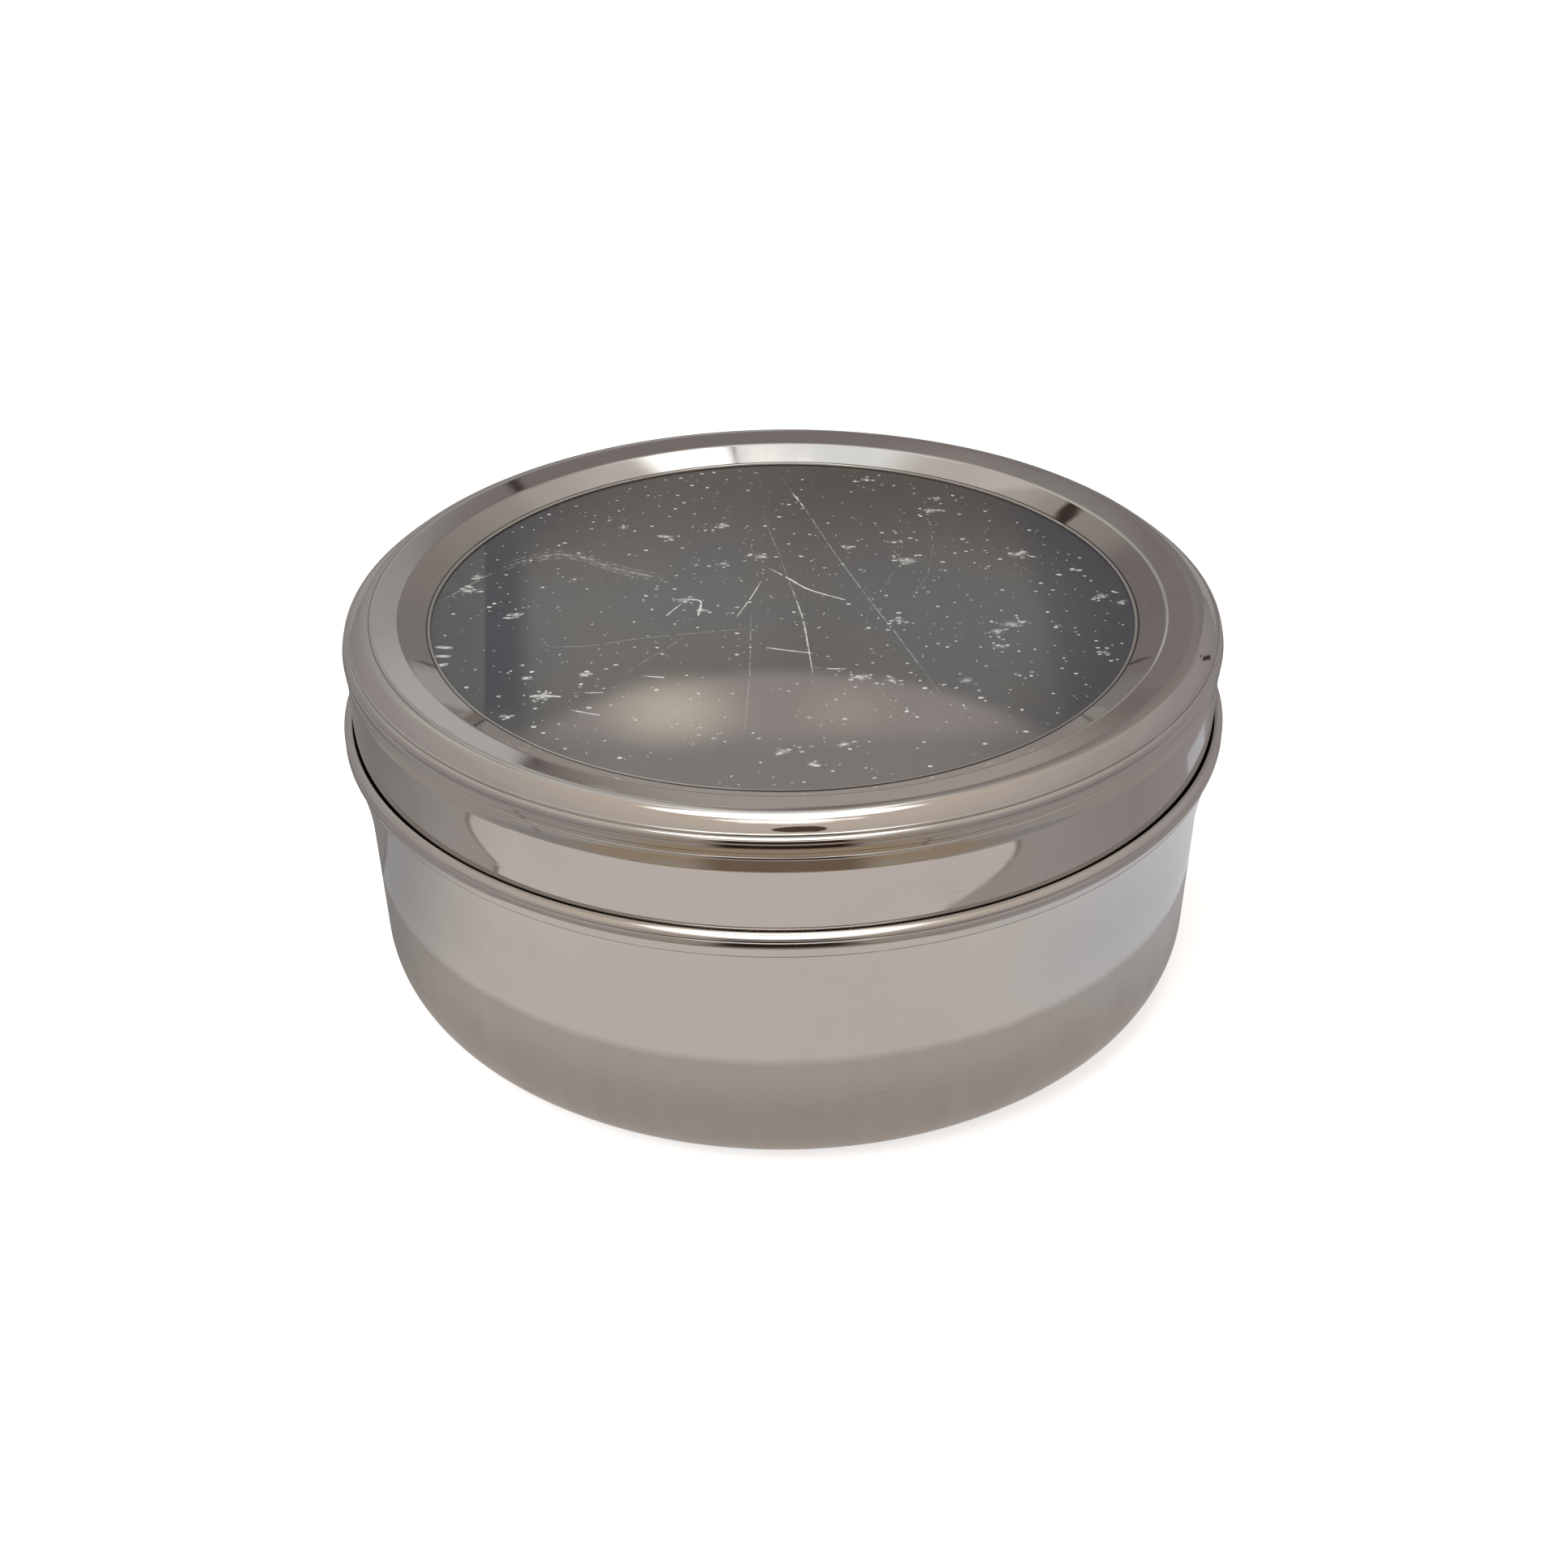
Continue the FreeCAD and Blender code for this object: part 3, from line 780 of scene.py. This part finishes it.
# ---- world, floor, camera ----------------------------------------------------------------
def studio_world():
    """A plain room seen only in reflections; the camera itself sees plain white.

    Directions are in degrees: azimuth 0 is behind the box, positive to its right.
    """
    world = bpy.data.worlds.new("studio")
    world.use_nodes = True
    bpy.context.scene.world = world
    s = Shader(world.node_tree)
    x, y, z = s.split(s.node("ShaderNodeTexCoord").outputs["Generated"])
    elevation = s.product(s.maths("ARCSINE", z), 180 / math.pi)
    azimuth = s.product(s.maths("ARCTAN2", x, y), 180 / math.pi)
    off_back = s.maths("ABSOLUTE", azimuth)
    off_front = s.maths("SUBTRACT", 180.0, off_back)

    def patch(az_mid, az_half, el_mid, el_half, soft):
        """1 inside a soft-edged rectangle of directions, 0 outside."""
        across = s.inside(azimuth, az_mid, az_half, soft)
        return s.product(across, s.inside(elevation, el_mid, el_half, soft))

    # The walls: one run of tones to the sides, one behind, brighter on the left and darker on the right.
    sides = s.ramp(elevation, -10, 90, [
        (-10, (0.31, 0.29, 0.28)), (2, (0.32, 0.30, 0.295)), (20, (0.39, 0.36, 0.36)),
        (39, (0.465, 0.437, 0.415)), (48, (0.535, 0.495, 0.46)), (57, (0.60, 0.535, 0.485)),
        (67, (0.67, 0.59, 0.51)), (90, (0.70, 0.64, 0.58)),
    ])
    back = s.ramp(elevation, -10, 90, [
        (-10, (0.27, 0.255, 0.245)), (8, (0.25, 0.235, 0.23)), (20, (0.26, 0.24, 0.235)),
        (32, (0.29, 0.265, 0.25)), (40, (0.34, 0.315, 0.295)), (48, (0.40, 0.37, 0.34)),
        (54, (0.53, 0.50, 0.46)), (62, (0.66, 0.62, 0.58)),
    ])
    colour = s.mix_colour(s.ease(off_back, 35.0, 30.0), sides, back)
    left_wall = s.ramp(elevation, 0, 60, [
        (0, (0.30, 0.29, 0.28)), (12, (0.36, 0.35, 0.335)), (22, (0.39, 0.38, 0.365)),
        (32, (0.45, 0.44, 0.42)), (40, (0.57, 0.56, 0.53)), (48, (0.64, 0.62, 0.58)),
        (60, (0.70, 0.66, 0.62)),
    ])
    strip_middle = s.product(elevation, -0.565)
    off_strip = s.maths("ABSOLUTE", s.maths("SUBTRACT", azimuth, strip_middle))
    on_left = s.product(
        s.ease(azimuth, -4.0, -5.5),
        s.ease(azimuth, -46.0, -38.0),
        s.ease(elevation, 62.0, 56.0),
        s.ease(off_strip, 1.7, 2.3),
    )
    colour = s.mix_colour(on_left, colour, left_wall)
    in_strip = s.product(
        s.ease(off_strip, 2.3, 1.7),
        s.ease(elevation, 40.0, 32.0),
        s.ease(azimuth, -4.0, -5.5),
    )
    colour = s.mix_colour(in_strip, colour, (0.225, 0.20, 0.195))
    doorway = s.product(
        s.inside(azimuth, 1.5, 2.5, 0.8),
        s.ease(elevation, 20.0, 23.0),
        s.ease(elevation, 50.0, 44.0),
    )
    colour = s.mix_colour(doorway, colour, (0.25, 0.225, 0.222))
    dark_side = s.product(s.inside(azimuth, 37.0, 7.0, 4.0), s.inside(elevation, 34.0, 12.0, 8.0), 0.7)
    colour = s.mix_colour(dark_side, colour, (0.27, 0.24, 0.23))

    # Behind, high up: a bright window, whitest on the right, with a crooked bar in it.
    window = s.product(s.ease(off_back, 28.0, 21.0), s.ease(elevation, 57.5, 61.5))
    colour = s.mix_colour(window, colour, (1.0, 1.03, 1.02))
    colour = s.mix_colour(patch(19.5, 6.0, 68.0, 4.0, 1.5), colour, (1.9, 1.9, 1.88))
    wobble = s.maths("MULTIPLY_ADD", s.noise(s.vector(x, y, z), 60.0, 2.0), 3.0, 10.4)
    on_bar = s.inside(s.maths("SUBTRACT", azimuth, wobble), 0.0, 0.5, 0.5)
    bar = s.product(on_bar, s.inside(elevation, 71.0, 2.0, 0.5), 0.7)
    colour = s.mix_colour(bar, colour, (0.25, 0.24, 0.22))

    # Behind, low down: a lit wall, a narrow lit column on its left and a lit place on the right.
    top_fade = s.ease(azimuth, -1.5, 1.5, 15.8, 20.5)
    low_fade = s.ease(azimuth, -1.5, 1.5, 12.4, 14.5)
    low_tone = s.mix_colour(s.ease(elevation, top_fade, low_fade), (0.20, 0.175, 0.165), (0.455, 0.41, 0.39))
    low_wall = s.product(
        s.inside(azimuth, 0.0, 3.6, 0.4),
        s.ease(elevation, 9.0, 10.5),
        s.ease(elevation, 22.0, 19.0),
    )
    colour = s.mix_colour(low_wall, colour, low_tone)
    column = s.product(
        s.ease(azimuth, -5.6, -5.0),
        s.ease(azimuth, 0.9, -0.9),
        s.ease(elevation, 15.75, 16.0),
        s.ease(elevation, 45.0, 24.0),
    )
    column_tone = s.mix_colour(s.ease(elevation, 20.0, 27.0), (0.56, 0.545, 0.525), (0.44, 0.43, 0.42))
    colour = s.mix_colour(column, colour, column_tone)
    low_right = s.product(s.inside(azimuth, 4.8, 2.6, 0.5), s.ease(elevation, 13.0, 9.0))
    colour = s.mix_colour(low_right, colour, (0.41, 0.395, 0.38))

    # Small dark things.
    dark_spots = [
        (-2.6, 1.0, 15.55, 0.14, 0.12), (0.6, 0.5, 38.0, 0.20, 0.15), (-25.8, 0.8, 46.3, 1.3, 0.4),
        (6.8, 0.15, 11.3, 0.6, 0.25), (-6.6, 0.15, 10.8, 0.6, 0.25), (46.0, 0.7, 10.5, 3.4, 0.4),
    ]
    for az, az_half, el, el_half, soft in dark_spots:
        colour = s.mix_colour(patch(az, az_half, el, el_half, soft), colour, (0.06, 0.045, 0.04))

    # In front: warm room low down, a dark figure, a lit strip above it and the figure's own shade.
    warm = s.product(s.ease(off_front, 58.0, 38.0), s.ease(elevation, 9.0, 2.0))
    colour = s.mix_colour(warm, colour, (0.37, 0.29, 0.21))
    beside = s.product(
        s.ease(off_front, 50.0, 25.0),
        s.ease(elevation, 3.0, 9.0),
        s.ease(elevation, 46.0, 40.0),
    )
    colour = s.mix_colour(beside, colour, (0.38, 0.34, 0.31))
    dark = s.product(
        s.ease(off_front, 21.0, 13.0),
        s.ease(elevation, 7.5, 9.5),
        s.ease(elevation, 50.0, 45.0),
    )
    colour = s.mix_colour(dark, colour, (0.03, 0.017, 0.013))
    feet = s.product(s.ease(off_front, 24.0, 14.0), s.ease(elevation, 9.5, 7.5))
    colour = s.mix_colour(feet, colour, (0.20, 0.145, 0.105))
    strip = s.product(s.ease(off_front, 34.0, 22.0), s.inside(elevation, 52.0, 5.0, 2.0))
    colour = s.mix_colour(strip, colour, (1.3, 1.27, 1.23))
    ragged = s.maths("MULTIPLY_ADD", s.noise(s.vector(x, y, z), 9.0, 3.0, 0.6), 4.0, -2.0)
    shade_el = s.maths("ADD", elevation, ragged)
    shade_side = s.maths("DIVIDE", x, s.product(y, -1.0))
    across = s.maths("DIVIDE", s.maths("SUBTRACT", shade_side, 0.105), 0.195)
    upward = s.maths("DIVIDE", s.maths("SUBTRACT", shade_el, 64.8), 4.0)
    away = s.maths("ADD", s.maths("POWER", s.maths("ABSOLUTE", across), 3.0), s.product(upward, upward))
    shade = s.product(s.ease(away, 1.1, 0.85), s.ease(off_front, 40.0, 30.0))
    colour = s.mix_colour(shade, colour, (0.105, 0.065, 0.05))

    # Overhead: a soft bright panel.
    torn = s.maths("MULTIPLY_ADD", s.noise(s.vector(x, y, z), 14.0, 3.0, 0.6), 5.0, -2.5)
    rise = s.maths("ADD", elevation, torn)
    colour = s.mix_colour(s.ease(rise, 70.5, 77.0), colour, (2.6, 2.56, 2.5))

    seen = s.node("ShaderNodeBackground")
    s.plug(seen.inputs["Color"], (1.0, 1.0, 1.0))
    room = s.node("ShaderNodeBackground")
    s.plug(room.inputs["Color"], colour)
    is_camera = s.node("ShaderNodeLightPath").outputs["Is Camera Ray"]
    surface = s.mix_shader(is_camera, room.outputs[0], seen.outputs[0])
    s.plug(s.node("ShaderNodeOutputWorld").inputs["Surface"], surface)


def pale_floor():
    """A pale floor. The steel sees a glowing painted picture of it instead: a lit sheet on a darker table,
    warmer far off in front, with painted shadow along the sheet's edge and a painted glint.
    """
    mesh = bpy.data.meshes.new("floor")
    side, low = 3.0, -0.00006
    corners = [(-side, -side, low), (side, -side, low), (side, side, low), (-side, side, low)]
    mesh.from_pydata(corners, [], [(0, 1, 2, 3)])
    floor = bpy.data.objects.new("floor", mesh)
    bpy.context.scene.collection.objects.link(floor)
    s = Shader.named("pale_floor")
    x, y, z = s.split(s.object_point())

    toward_front = s.product(y, -1.0)
    around = s.product(s.maths("ARCTAN2", x, toward_front), 180 / math.pi)
    radius = s.hypot(x, y)

    # The sheet: all round close to the box, narrower further out, where its ends are round.
    out_share = s.ease(radius, 0.150, 0.180)
    from_middle = s.maths("DIVIDE", s.maths("SUBTRACT", radius, 0.201), 0.011)
    rounding = s.maths("MINIMUM", s.product(from_middle, from_middle, 6.0), 9.0)
    from_outer = s.maths("DIVIDE", s.maths("SUBTRACT", radius, 0.207), 0.011)
    slanting = s.maths("MINIMUM", s.product(from_outer, from_outer, 6.0), 16.0)
    left_end = s.maths("ADD", s.maths("MULTIPLY_ADD", out_share, 39.0, -106.0), rounding)
    right_end = s.maths("SUBTRACT", s.maths("MULTIPLY_ADD", out_share, -139.0, 185.0), slanting)
    past_left = s.maths("SUBTRACT", left_end, around)
    past_right = s.maths("SUBTRACT", around, right_end)
    past = s.maths("MAXIMUM", past_left, past_right)
    outside = s.ease(past, -0.6, 0.6)
    rim = s.inside(past, 0.5, 0.5, 1.0)
    outside = s.maths("MAXIMUM", outside, s.ease(radius, 0.35, 0.37))

    bluish = s.product(s.ease(x, 0.07, 0.125), s.ease(radius, 0.165, 0.150))
    sheet = s.mix_colour(bluish, (0.67, 0.632, 0.598), (0.605, 0.612, 0.64))
    sheet = s.mix_colour(s.ease(around, -52.0, -92.0), sheet, (0.34, 0.338, 0.340))
    table = s.mix_colour(s.ease(around, -66.0, -108.0), (0.40, 0.375, 0.36), (0.235, 0.225, 0.22))
    table = s.mix_colour(s.ease(around, 40.0, 85.0), table, (0.34, 0.31, 0.305))
    table = s.mix_colour(s.ease(around, 112.0, 120.0), table, (0.25, 0.23, 0.23))
    # A painted glint on the table.
    glint = s.product(s.inside(around, 106.0, 6.0, 1.0), s.inside(radius, 0.176, 0.007, 0.002))
    table = s.mix_colour(glint, table, (0.50, 0.50, 0.52))
    table = s.mix_colour(s.ease(radius, 0.26, 0.5), table, (0.385, 0.36, 0.34))
    ahead = s.maths("SUBTRACT", toward_front, s.maths("ABSOLUTE", x))
    warm = s.product(s.ease(ahead, 0.05, 0.35), s.ease(radius, 0.35, 0.6))
    table = s.mix_colour(warm, table, (0.37, 0.29, 0.21))
    colour = s.mix_colour(outside, sheet, table)
    # Painted shadow: a dark line along the sheet's edge.
    colour = s.mix_colour(s.product(rim, 0.6), colour, (0.12, 0.10, 0.09))
    is_camera = s.node("ShaderNodeLightPath").outputs["Is Camera Ray"]
    matte = s.node("ShaderNodeBsdfDiffuse")
    s.plug(matte.inputs["Color"], (0.82, 0.82, 0.82))
    lift = s.node("ShaderNodeEmission")
    s.plug(lift.inputs["Color"], (0.62, 0.62, 0.62))
    pale = s.node("ShaderNodeAddShader")
    s.plug(pale.inputs[0], matte.outputs[0])
    s.plug(pale.inputs[1], lift.outputs[0])
    # Painted light: reflections see the floor as an emitter of the painted colour, not as a lit surface.
    mirrored = s.node("ShaderNodeEmission")
    s.plug(mirrored.inputs["Color"], colour)
    mesh.materials.append(s.finish(s.mix_shader(is_camera, mirrored.outputs[0], pale.outputs[0])))


def soft_light(name, place, aim, size, watts, colour):
    """One large soft area light. It lights the scene but isn't mirrored in the steel."""
    data = bpy.data.lights.new(name, "AREA")
    data.shape = "DISK"
    data.size = size
    data.energy = watts
    data.color = colour
    lamp = bpy.data.objects.new(name, data)
    lamp.location = place
    lamp.rotation_euler = (Vector(aim) - Vector(place)).to_track_quat("-Z", "Y").to_euler()
    lamp.visible_glossy = False
    bpy.context.scene.collection.objects.link(lamp)


def camera():
    """A three-quarter view from above the front, about half a metre away."""
    data = bpy.data.cameras.new("camera")
    data.sensor_width = 36.0
    data.lens = 47.38
    data.clip_start = 0.01
    cam = bpy.data.objects.new("camera", data)
    bpy.context.scene.collection.objects.link(cam)
    distance, pitch, roll = 0.5, math.radians(32.1), math.radians(-0.49)
    aim = Vector((0.0, 0.0, 0.0369))
    back = Vector((0.0, -math.cos(pitch), math.sin(pitch)))
    cam.location = aim + back * distance
    level = (-back).to_track_quat("-Z", "Y").to_matrix()
    cam.rotation_euler = (level @ Matrix.Rotation(roll, 3, "Z")).to_euler()
    bpy.context.scene.camera = cam


# ---- put together ------------------------------------------------------------------------
def add(obj, material, body, slot, *nodes):
    """Gives a piece its material and its body, and hides the frame nodes it stands for."""
    obj.data.materials.clear()
    obj.data.materials.append(material)
    if nodes:
        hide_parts(*nodes)
    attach(obj, body)


SHEET_TINT = (0.66, 0.63, 0.605)
CUP_TINT = (0.66, 0.65, 0.64)
box_steel = steel("box_steel", SHEET_TINT, 0.07, 0.06, satin_below=0.0314)
lid_steel = steel("lid_steel", SHEET_TINT, 0.02, 0.015, smear=0.05, gap_shadow_r=(WINDOW_R + 0.75) * MM)
pressed_steel = steel("pressed_steel", (0.56, 0.55, 0.54), 0.30, 0.20)
cup_steel = steel("cup_steel", CUP_TINT, 0.14, 0.14)
spoon_steel = steel("spoon_steel", CUP_TINT, 0.12, 0.05)

box = hand_worked(lathe("box_pan", box_outline()), 0.05, 38.0, 1)
add(box, box_steel, "box", "steel_box", "box_body")
lid = hand_worked(lathe("lid_ring", lid_outline()), 0.04, 32.0, 2)
add(lid, lid_steel, "lid", "steel_lid", "lid_frame")
retainer = lathe("retainer_ring", retainer_outline())
add(retainer, pressed_steel, "lid", "steel_pressed", "window_retainer")
pane = lathe("pane_disc", disc_outline(PANE_R, PANE_LOW_Z, PANE_TOP_Z, 0.3))
add(pane, clear_pane("clear_acrylic"), "lid", "acrylic_clear", "window_pane")
film = lathe("film_sheet", disc_outline(FILM_R, FILM_LOW_Z, FILM_TOP_Z, 0.02))
add(film, hazy_film("hazy_film"), "lid", "film_hazy", "protective_film")
add(film_marks(), torn_film("torn_film"), "lid", "film_hazy")

centre_cup = lathe("cup_centre", cup_outline(), CUP_STEPS)
centre_cup.location.z = CUP_FLOOR_Z * MM
add(centre_cup, cup_steel, "spice_cup_centre", "steel_cup", "spice_cup_centre")
for index in range(CUP_COUNT):
    angle = math.radians(-90 + index * 360 / CUP_COUNT)
    cup = lathe(f"cup_{index + 1}", cup_outline(), CUP_STEPS)
    cup.location = (CUP_RING_R * MM * math.cos(angle), CUP_RING_R * MM * math.sin(angle), CUP_FLOOR_Z * MM)
    cup.rotation_euler.z = index * 1.1
    node = f"spice_cup_{index + 1}"
    add(cup, cup_steel, node, "steel_cup", node)

for side, seat, bearing in (("left", 150, -14), ("right", -30, 166)):
    spoon = spoon_mesh(f"spoon_{side}")
    a = math.radians(seat)
    rim_z = CUP_FLOOR_Z + CUP_H + 0.1
    spoon.location = (CUP_RING_R * MM * math.cos(a), CUP_RING_R * MM * math.sin(a), rim_z * MM)
    spoon.rotation_euler.z = math.radians(bearing)
    node = f"spice_spoon_{side}"
    add(spoon, spoon_steel, node, "steel_spoon", node)

studio_world()
pale_floor()
soft_light("key", (-0.5, -0.7, 1.1), (0, 0, 0.03), 0.9, 9.0, (1.0, 0.97, 0.93))
camera()
bpy.context.scene.view_settings.view_transform = "Standard"
